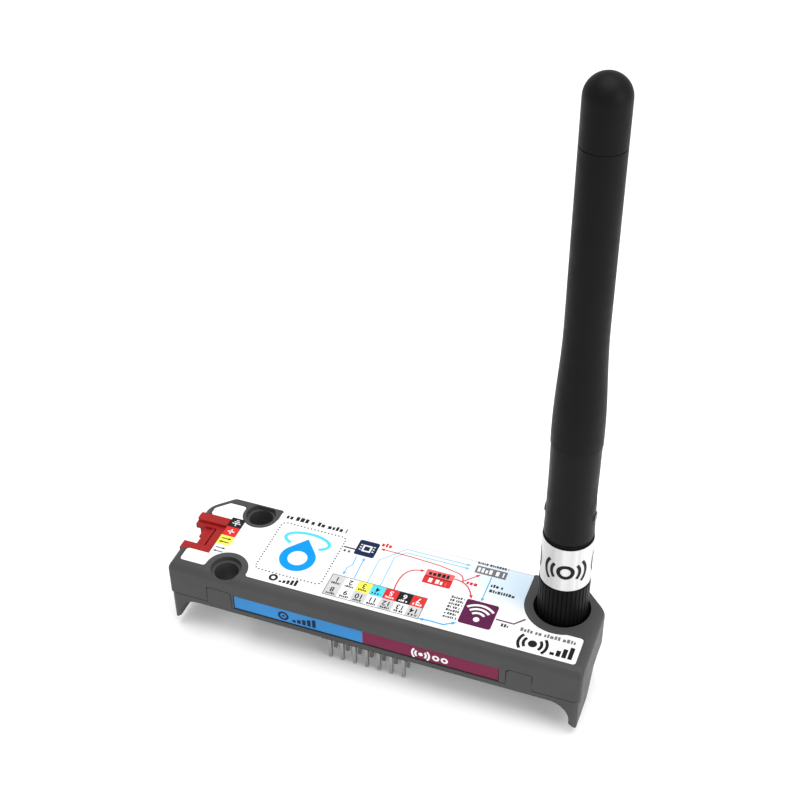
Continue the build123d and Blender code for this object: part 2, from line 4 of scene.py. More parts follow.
import bmesh
import bpy
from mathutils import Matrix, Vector


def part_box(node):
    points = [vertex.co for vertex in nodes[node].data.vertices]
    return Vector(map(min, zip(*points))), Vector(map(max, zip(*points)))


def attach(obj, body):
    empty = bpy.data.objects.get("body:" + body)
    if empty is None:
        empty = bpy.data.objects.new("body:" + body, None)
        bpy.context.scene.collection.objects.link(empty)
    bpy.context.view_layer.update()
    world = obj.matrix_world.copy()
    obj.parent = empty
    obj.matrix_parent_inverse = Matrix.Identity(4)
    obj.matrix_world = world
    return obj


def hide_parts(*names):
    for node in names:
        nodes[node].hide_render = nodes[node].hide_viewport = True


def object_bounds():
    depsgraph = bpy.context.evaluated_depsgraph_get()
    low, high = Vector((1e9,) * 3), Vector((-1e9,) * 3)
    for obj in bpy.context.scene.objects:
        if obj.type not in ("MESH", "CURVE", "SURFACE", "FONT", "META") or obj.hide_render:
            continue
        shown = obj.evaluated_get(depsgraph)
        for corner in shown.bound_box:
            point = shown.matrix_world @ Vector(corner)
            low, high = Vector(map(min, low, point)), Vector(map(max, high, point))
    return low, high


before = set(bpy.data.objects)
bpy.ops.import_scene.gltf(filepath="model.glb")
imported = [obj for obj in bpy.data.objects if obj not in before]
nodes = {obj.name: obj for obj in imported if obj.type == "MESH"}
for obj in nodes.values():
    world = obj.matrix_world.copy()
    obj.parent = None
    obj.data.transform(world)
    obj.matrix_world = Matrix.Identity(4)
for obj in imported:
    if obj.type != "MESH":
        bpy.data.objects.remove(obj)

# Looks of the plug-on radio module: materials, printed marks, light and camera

cad_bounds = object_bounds()

# Numbers are millimetres, degrees or shader values unless a name says otherwise
MM = 0.001
CURVE_STEPS = 14

# The label's prints are placed from this point, which is left of and in front of the pin header
PRINT_ZERO_X = -40.25
PRINT_ZERO_Y = -3.87
label_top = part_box("top_label")[1].z
strip_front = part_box("side_strip_blue")[0].y
ring_low, ring_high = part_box("ring_label")
ring_centre = (ring_low + ring_high) / 2
ring_radius = (ring_high.x - ring_low.x) / 2
RING_FRONT_ANGLE = -78.0


# Materials

NOISE_LOW, NOISE_HIGH = 0.3, 0.7
GLOSS_SPREAD = 0.05
FILM_WHITE = (0.86, 0.86, 0.86)
FILM_BLUE = (0.62, 0.76, 0.88)
BLUE_WASH = (("X", PRINT_ZERO_X, 48, 68), ("Y", PRINT_ZERO_Y, 10.5, 15.5))
FOIL_DARK = (0.5, 0.5, 0.5)
FOIL_LIGHT = (0.8, 0.8, 0.8)
FOIL_STREAKS = (500, 500, 6)


def shader(name):
    """A new material with its shader node."""
    material = bpy.data.materials.new(name)
    material.use_nodes = True
    return material, material.node_tree, material.node_tree.nodes["Principled BSDF"]


def noise(tree, scale, detail=4.0):
    """A noise texture that follows the object in space."""
    place = tree.nodes.new("ShaderNodeTexCoord")
    texture = tree.nodes.new("ShaderNodeTexNoise")
    texture.inputs["Scale"].default_value = scale
    texture.inputs["Detail"].default_value = detail
    tree.links.new(place.outputs["Object"], texture.inputs["Vector"])
    return texture


def spread(tree, source, low, high):
    """Maps a noise output to a range."""
    node = tree.nodes.new("ShaderNodeMapRange")
    node.inputs["From Min"].default_value = NOISE_LOW
    node.inputs["From Max"].default_value = NOISE_HIGH
    node.inputs["To Min"].default_value = low
    node.inputs["To Max"].default_value = high
    tree.links.new(source.outputs["Fac"], node.inputs["Value"])
    return node


def varied_colour(tree, bsdf, colour, tone, scale):
    """Base colour that drifts a little lighter and darker over the surface."""
    mix = tree.nodes.new("ShaderNodeMix")
    mix.data_type = "RGBA"
    mix.inputs["A"].default_value = (*[c * (1 - tone) for c in colour], 1)
    mix.inputs["B"].default_value = (*[min(1, c * (1 + tone)) for c in colour], 1)
    patches = spread(tree, noise(tree, scale), 0, 1)
    tree.links.new(patches.outputs["Result"], mix.inputs["Factor"])
    tree.links.new(mix.outputs["Result"], bsdf.inputs["Base Color"])
    return mix


def grain_bump(tree, bsdf, scale, depth, edge=0.0):
    """Fine surface grain, with softened edges where edge is above zero."""
    bump = tree.nodes.new("ShaderNodeBump")
    bump.inputs["Strength"].default_value = 1.0
    bump.inputs["Distance"].default_value = depth * MM
    tree.links.new(noise(tree, scale, 3.0).outputs["Fac"], bump.inputs["Height"])
    if edge:
        bevel = tree.nodes.new("ShaderNodeBevel")
        bevel.samples = 4
        bevel.inputs["Radius"].default_value = edge * MM
        tree.links.new(bevel.outputs["Normal"], bump.inputs["Normal"])
    tree.links.new(bump.outputs["Normal"], bsdf.inputs["Normal"])


def plain(
    name, colour, rough, grain=(3000, 0.004), tone=0.06, patch=120, metal=0.0, edge=0.0, specular=0.2
):
    """A moulded, printed or metal surface with grain, drifting tone and uneven gloss."""
    material, tree, bsdf = shader(name)
    bsdf.inputs["Metallic"].default_value = metal
    bsdf.inputs["Specular IOR Level"].default_value = specular
    varied_colour(tree, bsdf, colour, tone, patch)
    gloss = spread(tree, noise(tree, patch * 4), rough - GLOSS_SPREAD, rough + GLOSS_SPREAD)
    tree.links.new(gloss.outputs["Result"], bsdf.inputs["Roughness"])
    grain_bump(tree, bsdf, *grain, edge=edge)
    return material


def label_film():
    """White film with a pale blue wash towards the antenna."""
    material, tree, bsdf = shader("label_film")
    bsdf.inputs["Roughness"].default_value = 0.42
    base = varied_colour(tree, bsdf, FILM_WHITE, 0.01, 200)
    place = tree.nodes.new("ShaderNodeTexCoord")
    split = tree.nodes.new("ShaderNodeSeparateXYZ")
    tree.links.new(place.outputs["Object"], split.inputs["Vector"])
    ramps = []
    for axis, zero, start, end in BLUE_WASH:
        ramp = tree.nodes.new("ShaderNodeMapRange")
        ramp.interpolation_type = "SMOOTHSTEP"
        ramp.inputs["From Min"].default_value = (start + zero) * MM
        ramp.inputs["From Max"].default_value = (end + zero) * MM
        tree.links.new(split.outputs[axis], ramp.inputs["Value"])
        ramps.append(ramp)
    both = tree.nodes.new("ShaderNodeMath")
    both.operation = "MULTIPLY"
    for i, ramp in enumerate(ramps):
        tree.links.new(ramp.outputs["Result"], both.inputs[i])
    wash = tree.nodes.new("ShaderNodeMix")
    wash.data_type = "RGBA"
    wash.inputs["B"].default_value = (*FILM_BLUE, 1)
    tree.links.new(both.outputs["Value"], wash.inputs["Factor"])
    tree.links.new(base.outputs["Result"], wash.inputs["A"])
    tree.links.new(wash.outputs["Result"], bsdf.inputs["Base Color"])
    grain_bump(tree, bsdf, 2500, 0.002)
    return material


def ring_foil():
    """White foil with soft upright streaks."""
    material, tree, bsdf = shader("ring_foil")
    bsdf.inputs["Specular IOR Level"].default_value = 0.4
    bsdf.inputs["Roughness"].default_value = 0.25
    streaks = noise(tree, 1.0, 3.0)
    stretch = tree.nodes.new("ShaderNodeMapping")
    stretch.inputs["Scale"].default_value = FOIL_STREAKS
    place = streaks.inputs["Vector"].links[0].from_socket
    tree.links.new(place, stretch.inputs["Vector"])
    tree.links.new(stretch.outputs["Vector"], streaks.inputs["Vector"])
    tone = tree.nodes.new("ShaderNodeMix")
    tone.data_type = "RGBA"
    tone.inputs["A"].default_value = (*FOIL_DARK, 1)
    tone.inputs["B"].default_value = (*FOIL_LIGHT, 1)
    tree.links.new(spread(tree, streaks, 0, 1).outputs["Result"], tone.inputs["Factor"])
    tree.links.new(tone.outputs["Result"], bsdf.inputs["Base Color"])
    grain_bump(tree, bsdf, 900, 0.003)
    return material


def dress(material, *names):
    """Gives a CAD node its material."""
    for name in names:
        mesh = nodes[name].data
        mesh.materials.clear()
        mesh.materials.append(material)


housing = plain("housing_plastic", (0.058, 0.058, 0.059), 0.5, grain=(2600, 0.012), tone=0.07, edge=0.12)
dress(housing, "top_housing", "bottom_cover")
dress(label_film(), "top_label")
dress(ring_foil(), "ring_label")
dress(plain("blue_strip", (0.035, 0.235, 0.56), 0.45, specular=0.12), "side_strip_blue")
dress(plain("maroon_strip", (0.175, 0.014, 0.056), 0.45, specular=0.12), "side_strip_maroon")
port_red = plain("port_red", (0.34, 0.014, 0.014), 0.38, grain=(1800, 0.006), edge=0.1)
dress(port_red, "port_socket")
dress(plain("board_mask", (0.02, 0.06, 0.035), 0.3), "circuit_board")
black_moulding = plain("black_moulding", (0.012, 0.012, 0.012), 0.55, edge=0.05)
dress(black_moulding, "receiver_chip", "expander_chip", "regulator_chip", "power_inductor", "header_base")
dress(plain("fired_ceramic", (0.42, 0.37, 0.3), 0.6), "ceramic_patch", "chip_passives")
silvered_sheet = plain("silvered_sheet", (0.6, 0.6, 0.58), 0.3, metal=1.0)
dress(silvered_sheet, "patch_plate", "radio_shield", "crystals")
gold_plating = plain("gold_plating", (0.7, 0.52, 0.22), 0.28, metal=1.0)
dress(gold_plating, "port_contacts", "rf_jack_contact", "antenna_contact")
dress(plain("tinned_pins", (0.34, 0.34, 0.335), 0.34, metal=1.0, edge=0.04), "header_pins")
jack_brass = plain("jack_brass", (0.72, 0.56, 0.25), 0.3, metal=1.0)
dress(jack_brass, "rf_jack_body", "antenna_ferrule", "radiator_rod")
dress(plain("white_plastic", (0.8, 0.8, 0.78), 0.5), "rf_jack_insulator", "ferrule_insulator")
dress(plain("black_steel", (0.03, 0.03, 0.03), 0.35, metal=1.0, edge=0.05), "cover_screws", "hinge_pin")
nut_black = plain(
    "nut_black", (0.004, 0.004, 0.004), 0.4, grain=(1200, 0.01), edge=0.05, specular=0.08
)
dress(nut_black, "antenna_nut")
antenna_plastic = plain(
    "antenna_plastic", (0.005, 0.005, 0.005), 0.42, grain=(1500, 0.004), edge=0.1, specular=0.1
)
dress(antenna_plastic, "hinge_base", "hinge_sleeve")
antenna_skin = plain(
    "antenna_skin", (0.005, 0.005, 0.0052), 0.46, grain=(1500, 0.004), edge=0.1, specular=0.09
)
dress(antenna_skin, "whip_tube", "whip_cap")


# Rounder ends, wider parting lines and the stepped port, on copies of the CAD meshes

shell_low, shell_high = [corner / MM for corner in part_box("top_housing")]
cover_low, cover_high = [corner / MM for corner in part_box("bottom_cover")]
port_low, port_high = [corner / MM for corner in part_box("port_socket")]

WELD = 0.0005
SHARP_ANGLE = 28
CLEAR = 1.0
ROUND_STEPS = 12

# The ends: how far the left one moves out, its wall, and the radius of each top edge by its inward side
END_SHIFT = shell_low.x - port_low.x
END_WALL = 1.35
END_RADIUS = {1: 2.0, -1: 1.2}
CHAMFER = 4.5
CHAMFER_SHIFT = 0.5
RIGHT_CHAMFER_REACH = 0.6
LEFT_CHAMFER_REACH = 0.48

# The front corners, seen from above
FRONT_RADIUS = 2.0
CAD_CORNER = 1.5
CAD_CORNER_INSIDE = 0.9
CORNER = 0.8
CORNER_CUT_LOW = 0.5

# The parting line and the snap tabs in the front wall
PARTING = 1.3
RIM_REACH = 0.05
LIP_GAP = 0.15
TAB_FOOT = 1.31
TAB_GAP = 0.07
CAD_TAB_GAP = 0.06
TAB_DEPTH = 0.8
TAB_TOP = 5.3
TAB_ROUNDS = 4.2
TAB_EDGES = ((-32.35, -27.15), (28.55, 33.75))
LEFT_TAB_MIDDLE = -29.75
RIGHT_TAB_MIDDLE = 31.15
RIGHT_TAB_SIDE = (33.3, 34.2)
RIGHT_TAB_SHIFT = 0.2
CATCH_REACH = 0.5
CATCH_LOW = 3.8
CATCH_HIGH = 4.4

# The fins under the ends
FIN_TOP = 0.01
FIN_COVE_END = -34.0
FIN_SLOPE_END = 13.1
TOE_HEIGHT = 0.05
TOE_FROM_END = (1.0, 1.4)
TOE_SHIFT = 0.75

# The web that closes the rear stepped hole towards the back
HOLE_X = -28.98
HOLE_REACH = 3.05
WEB_HEIGHT = 1.1
WEB_THICKNESS = 0.28


def as_given(u, v, w):
    """A flat outline in x and y, run along z."""
    return u, v, w


def run_along_y(u, v, w):
    """A flat outline in x and z, run along y."""
    return u, w, v


def prism(name, outline, low, high, place):
    """A closed bar with a flat outline, run from low to high; place orders its coordinates."""
    count = len(outline)
    vertices = [Vector(place(u, v, w)) * MM for w in (low, high) for u, v in outline]
    faces = [tuple(range(count)), tuple(range(2 * count - 1, count - 1, -1))]
    faces += [(i, (i + 1) % count, count + (i + 1) % count, count + i) for i in range(count)]
    return meshed(name, vertices, faces)


def block(x0, x1, y0, y1, z0, z1):
    """A box given by its faces, for cutting and joining."""
    return prism("block", [(x0, y0), (x1, y0), (x1, y1), (x0, y1)], z0, z1, as_given)


def meshed(name, vertices, faces):
    """A new object with all its faces turned outwards."""
    mesh = bpy.data.meshes.new(name)
    mesh.from_pydata(vertices, [], faces)
    shape = bmesh.new()
    shape.from_mesh(mesh)
    bmesh.ops.recalc_face_normals(shape, faces=shape.faces)
    shape.to_mesh(mesh)
    shape.free()
    piece = bpy.data.objects.new(name, mesh)
    bpy.context.scene.collection.objects.link(piece)
    return piece


def combine(piece, tool, operation="DIFFERENCE"):
    """Cuts a piece with a tool or joins it on; the tool is used up."""
    modifier = piece.modifiers.new("combine", "BOOLEAN")
    modifier.operation = operation
    modifier.solver = "EXACT"
    modifier.object = tool
    graph = bpy.context.evaluated_depsgraph_get()
    mesh = bpy.data.meshes.new_from_object(piece.evaluated_get(graph))
    piece.modifiers.clear()
    piece.data = mesh
    bpy.data.objects.remove(tool)


def reshaped(node, name, move):
    """A copy of a CAD node's mesh with its points moved."""
    shape = bmesh.new()
    shape.from_mesh(nodes[node].data)
    bmesh.ops.remove_doubles(shape, verts=shape.verts, dist=WELD * MM)
    shape.verts.index_update()
    vertices = [Vector(move(*(vertex.co / MM))) * MM for vertex in shape.verts]
    faces = [[vertex.index for vertex in face.verts] for face in shape.faces]
    shape.free()
    return meshed(name, vertices, faces)


def clean(mesh):
    """Joins points that coincide and takes out faces without area."""
    shape = bmesh.new()
    shape.from_mesh(mesh)
    bmesh.ops.remove_doubles(shape, verts=shape.verts, dist=WELD * MM)
    bmesh.ops.dissolve_degenerate(shape, edges=shape.edges, dist=WELD * MM)
    shape.to_mesh(mesh)
    shape.free()


def stand_in(piece, node, material):
    """Lets a piece stand for a CAD node, with smooth rounds and sharp corners."""
    mesh = piece.data
    mesh.name = piece.name
    clean(mesh)
    mesh.materials.clear()
    mesh.materials.append(material)
    mesh.shade_smooth()
    mesh.set_sharp_from_angle(angle=math.radians(SHARP_ANGLE))
    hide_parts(node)
    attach(piece, "module")


def move_chamfers(x, y):
    """Lengthens the left end and deepens the right chamfer."""
    to_left_chamfer = (shell_high.y - CHAMFER - shell_low.x) - (y - x)
    to_right_chamfer = (shell_high.y - CHAMFER + shell_high.x) - (x + y)
    if to_right_chamfer < RIGHT_CHAMFER_REACH:
        part = min(max((x - shell_high.x + CHAMFER) / CHAMFER, 0), 1)
        return x - CHAMFER_SHIFT * (1 - part), y - CHAMFER_SHIFT * part
    if x < shell_low.x + END_WALL:
        on_chamfer = to_left_chamfer < LEFT_CHAMFER_REACH
        return x - END_SHIFT, y - (END_SHIFT if on_chamfer else 0)
    return x, y


def tighten_corner(x, y):
    """Brings the points of a front corner out to a smaller round."""
    for end, inward in ((shell_low.x, 1), (shell_high.x, -1)):
        across = (x - end) * inward - CAD_CORNER
        along = y - shell_low.y - CAD_CORNER
        reach = math.hypot(across, along)
        if across < 0 and along < 0 and reach > CAD_CORNER_INSIDE:
            step = CAD_CORNER - CORNER
            x -= inward * step * (1 + across / reach)
            y -= step * (1 + along / reach)
    return x, y


def flatten_catch(x, gap):
    """Brings the round catches of a snap tab back to its straight edges."""
    for low, high in TAB_EDGES:
        if low - CATCH_REACH < x < low - gap:
            return low - gap
        if high + gap < x < high + CATCH_REACH:
            return high + gap
    return x


def move_shell(x, y, z):
    """Moves the shell's points."""
    return *move_chamfers(*tighten_corner(x, y)), z


def move_openings(piece):
    """Straightens the openings for the snap tabs and shifts the right one's edge."""
    for vertex in piece.data.vertices:
        x, y, z = vertex.co / MM
        if y < shell_low.y + TAB_DEPTH and z < TAB_TOP:
            if CATCH_LOW < z < CATCH_HIGH:
                x = flatten_catch(x, CAD_TAB_GAP)
            x -= RIGHT_TAB_SHIFT if RIGHT_TAB_SIDE[0] < x < RIGHT_TAB_SIDE[1] else 0
            vertex.co.x = x * MM


def move_cover(x, y, z):
    """Moves the cover's points: a wider gap round the rim and the tabs, and pointed toes."""
    on_tab = z > TAB_FOOT and y < shell_low.y + TAB_DEPTH
    if on_tab:
        if CATCH_LOW < z < CATCH_HIGH:
            x = flatten_catch(x, 0)
        middle = RIGHT_TAB_MIDDLE if x > 0 else LEFT_TAB_MIDDLE
        x += TAB_GAP if x < middle else -TAB_GAP
        x -= RIGHT_TAB_SHIFT if x > RIGHT_TAB_MIDDLE else 0
        z -= TAB_GAP if z > TAB_ROUNDS else 0
        return x, y, z
    if z < cover_low.z + TOE_HEIGHT:
        nearest, furthest = TOE_FROM_END
        x -= TOE_SHIFT if nearest < x - cover_low.x < furthest else 0
        x += TOE_SHIFT if nearest < cover_high.x - x < furthest else 0
    if z < FIN_TOP and x < FIN_COVE_END and y < shell_low.y + FIN_SLOPE_END:
        return x - END_SHIFT, y, z
    x, y = move_chamfers(x, y)
    on_rim = abs(z - PARTING) < RIM_REACH
    return x, y, z - (LIP_GAP if on_rim else 0)


def round_end(piece, x, inward):
    """Rounds a top end edge."""
    top = shell_high.z
    radius = END_RADIUS[inward]
    centre = x + inward * radius
    turn = [math.radians(90 + 90 * i / ROUND_STEPS) for i in range(ROUND_STEPS + 1)]
    outline = [(centre + inward * radius * math.cos(a), top - radius + radius * math.sin(a)) for a in turn]
    outside = x - inward * CLEAR
    outline += [(outside, top - radius), (outside, top + CLEAR), (centre, top + CLEAR)]
    combine(piece, prism("cutter", outline, shell_low.y - CLEAR, shell_high.y + CLEAR, run_along_y))


def edge_inset(z, radius):
    """How far a rounded top edge has drawn in at a height."""
    rise = min(max(z - shell_high.z + radius, 0), radius)
    return radius - math.sqrt(radius * radius - rise * rise)


def round_corner(piece, x, inward):
    """Rounds a front corner alike at every height, so that its top edges blend."""
    top = shell_high.z
    start = top - FRONT_RADIUS
    rises = [math.sin(math.radians(angle)) for angle in range(0, 96, 6)]
    heights = [CORNER_CUT_LOW, *[start + FRONT_RADIUS * rise for rise in rises], top + 0.5]
    turn = [math.radians(angle) for angle in range(0, 100, 10)]
    outside_x, outside_y = x - inward * CLEAR, shell_low.y - CLEAR
    vertices = []
    for z in heights:
        cx = x + inward * (edge_inset(z, END_RADIUS[inward]) + CORNER)
        cy = shell_low.y + edge_inset(z, FRONT_RADIUS) + CORNER
        loop = [(cx - inward * CORNER * math.cos(a), cy - CORNER * math.sin(a)) for a in turn]
        loop += [(cx, outside_y), (outside_x, outside_y), (outside_x, cy)]
        vertices += [Vector((u, v, z)) * MM for u, v in loop]
    count = len(vertices) // len(heights)
    last = len(vertices) - count
    faces = [tuple(range(count)), tuple(range(last, last + count))]
    for base in range(0, last, count):
        for i in range(count):
            j = (i + 1) % count
            faces.append((base + i, base + j, base + count + j, base + count + i))
    combine(piece, meshed("cutter", vertices, faces))


def build_shell():
    """The shell and the cover with the photograph's rounds and gaps."""
    shell = reshaped("top_housing", "shell", move_shell)
    for x, inward in ((shell_low.x - END_SHIFT, 1), (shell_high.x, -1)):
        round_end(shell, x, inward)
        round_corner(shell, x, inward)
    left, right = HOLE_X - HOLE_REACH, HOLE_X + HOLE_REACH
    back, top = shell_high.y, shell_high.z
    web = block(left, right, back - WEB_THICKNESS, back, top - WEB_HEIGHT, top)
    combine(shell, web, "UNION")
    move_openings(shell)
    stand_in(shell, "top_housing", housing)
    stand_in(reshaped("bottom_cover", "cover", move_cover), "bottom_cover", housing)


def build_port():
    """The red port: a mouth under a stepped shelf, a rib on the shelf and a bar along the back arm."""
    x0, x1 = port_low.x + 0.05, port_high.x
    y0, y1 = port_low.y, port_high.y
    low, body_top, top = port_low.z, shell_high.z - 0.7, shell_high.z
    outside, above = x0 - CLEAR, top + CLEAR
    floor = low + 1
    rear = x1 - 1.8
    mouth_y0, mouth_y1 = y0 + 1.5, y1 - 1.5
    window_y0, window_y1 = y0 + 2.15, y1 - 2.9
    shelf_x, shelf_low, shelf_top = x0 + 1.85, 7.3, 7.75
    step_x, step_y1 = shelf_x + 0.5, window_y0 + 2.6
    rib_x0, rib_x1 = rear - 1.0, rear - 0.45
    rib_low, rib_top = shelf_top - 0.1, shelf_top + 0.45
    bar_y0, bar_corner = y1 - 2.1, 0.4

    piece = block(x0, x1, y0, y1, low, body_top)
    piece.name = "port"
    outline = arc_points(x0 + bar_corner, bar_y0 + bar_corner, bar_corner, 270, 180, 6)
    outline += arc_points(x0 + bar_corner, y1 - bar_corner, bar_corner, 180, 90, 6)
    outline += [(x1, y1), (x1, bar_y0)]
    combine(piece, prism("bar", outline, low, top, as_given), "UNION")
    combine(piece, block(outside, rear, mouth_y0, mouth_y1, floor, shelf_low))
    combine(piece, block(outside, rear, window_y0, window_y1, shelf_top, above))
    combine(piece, block(outside, shelf_x, window_y0, window_y1, floor, above))
    combine(piece, block(outside, step_x, window_y0, step_y1, floor, above))
    combine(piece, block(rib_x0, rib_x1, window_y0, window_y1, rib_low, rib_top), "UNION")
    stand_in(piece, "port_socket", port_red)


# Printed marks: each ink collects flat shapes, which become one thin mesh per ink and surface

INK_LIFT = 0.02
LAYER_LIFT = 0.012
ARROW_HALF_WIDTH = 0.42
BLOCK_WIDTHS = (0.35, 0.75)
BLOCK_DROPS = (0, 0, 0.25)
BLOCK_GAPS = (0.22, 0.22, 0.22, 0.6)
DIGIT_HEIGHT = 0.7
DIGIT_WEIGHT = 0.03
DOT_RADIUS = 0.17
DISC_SIDES = 24


class Ink:
    """The shapes that one colour prints on one surface."""

    def __init__(self, name, colour, place, body, slot):
        self.name = name
        self.colour = colour
        self.place = place
        self.body = body
        self.slot = slot
        self.shapes = []

    def add(self, points, layer=0):
        """Takes a flat shape on; a higher layer lies over a lower one."""
        self.shapes.append((points, layer))

    def build(self):
        """Makes the mesh and its material."""
        vertices, faces = [], []
        for points, layer in self.shapes:
            faces.append(range(len(vertices), len(vertices) + len(points)))
            vertices += [self.place(x, y, INK_LIFT + layer * LAYER_LIFT) for x, y in points]
        mesh = bpy.data.meshes.new(self.name)
        mesh.from_pydata(vertices, [], [list(face) for face in faces])
        ink = plain(self.name, self.colour, 0.42, grain=(2500, 0.002), tone=0.05, patch=400, specular=0.12)
        mesh.materials.append(ink)
        piece = bpy.data.objects.new(self.name, mesh)
        bpy.context.scene.collection.objects.link(piece)
        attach(piece, self.body)


def on_label(x, y, lift):
    """A point of the top label."""
    return ((x + PRINT_ZERO_X) * MM, (y + PRINT_ZERO_Y) * MM, label_top + lift * MM)


def on_strip(x, z, lift):
    """A point of the front strips."""
    return ((x + PRINT_ZERO_X) * MM, strip_front - lift * MM, z * MM)


def on_ring(along, z, lift):
    """A point of the ring label, along is the arc length from the front."""
    radius = ring_radius + lift * MM
    angle = math.radians(RING_FRONT_ANGLE) + along * MM / ring_radius
    return (ring_centre.x + radius * math.cos(angle), ring_centre.y + radius * math.sin(angle), z * MM)


def arc_points(cx, cy, radius, start, end, steps=CURVE_STEPS):
    """Points along an arc given in degrees."""
    angles = [math.radians(start + (end - start) * i / steps) for i in range(steps + 1)]
    return [(cx + radius * math.cos(a), cy + radius * math.sin(a)) for a in angles]


def bend_points(a, b, c, d, steps=CURVE_STEPS):
    """Points along a smooth bend from a to d, pulled towards b and c."""
    points = []
    for i in range(steps + 1):
        t = i / steps
        u = 1 - t
        weights = (u * u * u, 3 * u * u * t, 3 * u * t * t, t * t * t)
        points.append(tuple(sum(w * p[k] for w, p in zip(weights, (a, b, c, d))) for k in (0, 1)))
    return points


def panel(ink, x0, x1, y0, y1, radius=0.0, layer=0):
    """A filled rectangle with round corners."""
    if not radius:
        ink.add([(x0, y0), (x1, y0), (x1, y1), (x0, y1)], layer)
        return
    points = []
    for cx, cy, start in (
        (x1 - radius, y0 + radius, -90),
        (x1 - radius, y1 - radius, 0),
        (x0 + radius, y1 - radius, 90),
        (x0 + radius, y0 + radius, 180),
    ):
        points += arc_points(cx, cy, radius, start, start + 90, 5)
    ink.add(points, layer)


def disc(ink, cx, cy, radius, layer=0):
    """A filled circle."""
    ink.add(arc_points(cx, cy, radius, 0, 360 - 360 / DISC_SIDES, DISC_SIDES - 1), layer)


def band(ink, cx, cy, inner, outer, start=0, end=360, layer=0, steps=32):
    """A ring or part of one."""
    inside = arc_points(cx, cy, inner, start, end, steps)
    outside = arc_points(cx, cy, outer, start, end, steps)
    for i in range(steps):
        ink.add([inside[i], outside[i], outside[i + 1], inside[i + 1]], layer)


def line(ink, points, width, layer=0):
    """A line of constant width with mitred joints."""
    half = width / 2
    sides = []
    for i, (x, y) in enumerate(points):
        before = points[max(i - 1, 0)]
        after = points[min(i + 1, len(points) - 1)]
        dx, dy = after[0] - before[0], after[1] - before[1]
        length = math.hypot(dx, dy)
        nx, ny = -dy / length * half, dx / length * half
        sides.append(((x + nx, y + ny), (x - nx, y - ny)))
    for (a, b), (c, d) in zip(sides, sides[1:]):
        ink.add([a, b, d, c], layer)


def arrow(ink, points, width, head=0.75, layer=0, both=False):
    """A line with an arrowhead at its end, or at both ends."""
    line(ink, points, width, layer)
    ends = [(points[-2], points[-1])]
    if both:
        ends.append((points[1], points[0]))
    for (x0, y0), (x1, y1) in ends:
        length = math.hypot(x1 - x0, y1 - y0)
        ux, uy = (x1 - x0) / length, (y1 - y0) / length
        tip = (x1 + ux * head, y1 + uy * head)
        side_x, side_y = uy * head * ARROW_HALF_WIDTH, ux * head * ARROW_HALF_WIDTH
        ink.add([tip, (x1 - side_x, y1 + side_y), (x1 + side_x, y1 - side_y)], layer)


def bars(ink, x0, x1, y0, y1, seed, layer=0):
    """A row of small blocks that stands for a line of small print."""
    chance = random.Random(seed)
    height = y1 - y0
    x = x0
    while x < x1:
        width = min(height * chance.uniform(*BLOCK_WIDTHS), x1 - x)
        drop = height * chance.choice(BLOCK_DROPS)
        panel(ink, x, x + width, y0, y1 - drop, layer=layer)
        x += width + height * chance.choice(BLOCK_GAPS)


def number(text, ink, x, y, height, layer=1):
    """A plain pin number, read from the back of the body."""
    curve = bpy.data.curves.new(f"number_{text}", "FONT")
    curve.body = text
    curve.size = height / DIGIT_HEIGHT
    curve.resolution_u = 3
    curve.offset = DIGIT_WEIGHT
    curve.align_x = "CENTER"
    curve.align_y = "CENTER"
    shape = bpy.data.objects.new(curve.name, curve)
    mesh = bpy.data.meshes.new_from_object(shape)
    points = [(x - vertex.co.x, y - vertex.co.y) for vertex in mesh.vertices]
    for face in mesh.polygons:
        ink.add([points[i] for i in face.vertices], layer)
    bpy.data.objects.remove(shape)


def label_ink(name, colour):
    """An ink of the top label."""
    return Ink("print_" + name, colour, on_label, "module", "label_print")


black = label_ink("black", (0.012, 0.012, 0.014))
white = label_ink("white", (0.85, 0.85, 0.85))
grey = label_ink("grey", (0.16, 0.16, 0.17))
silver = label_ink("silver", (0.56, 0.56, 0.57))
red = label_ink("red", (0.62, 0.03, 0.028))
coral = label_ink("coral", (0.78, 0.13, 0.13))
yellow = label_ink("yellow", (0.86, 0.8, 0.1))
cyan = label_ink("cyan", (0.08, 0.62, 0.78))
blue = label_ink("blue", (0.0, 0.28, 0.95))
line_blue = label_ink("line_blue", (0.06, 0.36, 0.72))
line_cyan = label_ink("line_cyan", (0.16, 0.52, 0.66))
ink_grey = label_ink("ink_grey", (0.04, 0.04, 0.042))
navy = label_ink("navy", (0.006, 0.018, 0.065))
plum = label_ink("plum", (0.1, 0.01, 0.06))


def print_port_cells():
    """Four coloured cells beside the port, with plain wiring signs."""
    x0, x1 = 6.25, 9.15
    panel(black, x0, x1, 13.55, 16.2)
    panel(red, x0, x1, 10.95, 13.55)
    panel(yellow, x0, x1, 8.35, 10.95)
    centre = (x0 + x1) / 2
    for i, half in enumerate((0.9, 0.6, 0.3)):
        y = 14.6 + i * 0.45
        panel(white, centre - half, centre + half, y, y + 0.2, layer=1)
    panel(white, centre - 0.1, centre + 0.1, 14.0, 14.6, layer=1)
    panel(white, centre - 0.7, centre + 0.7, 12.13, 12.37, layer=1)
    panel(white, centre - 0.12, centre + 0.12, 11.55, 12.95, layer=1)
    arrow(black, [(centre - 1.0, 10.1), (centre + 0.5, 10.1)], 0.24, 0.7, layer=1)
    arrow(black, [(centre + 1.0, 9.1), (centre - 0.5, 9.1)], 0.24, 0.7, layer=1)
    arrow(black, [(centre - 1.0, 7.4), (centre + 0.5, 7.4)], 0.22, 0.65)
    arrow(black, [(centre + 1.0, 6.4), (centre - 0.5, 6.4)], 0.22, 0.65)


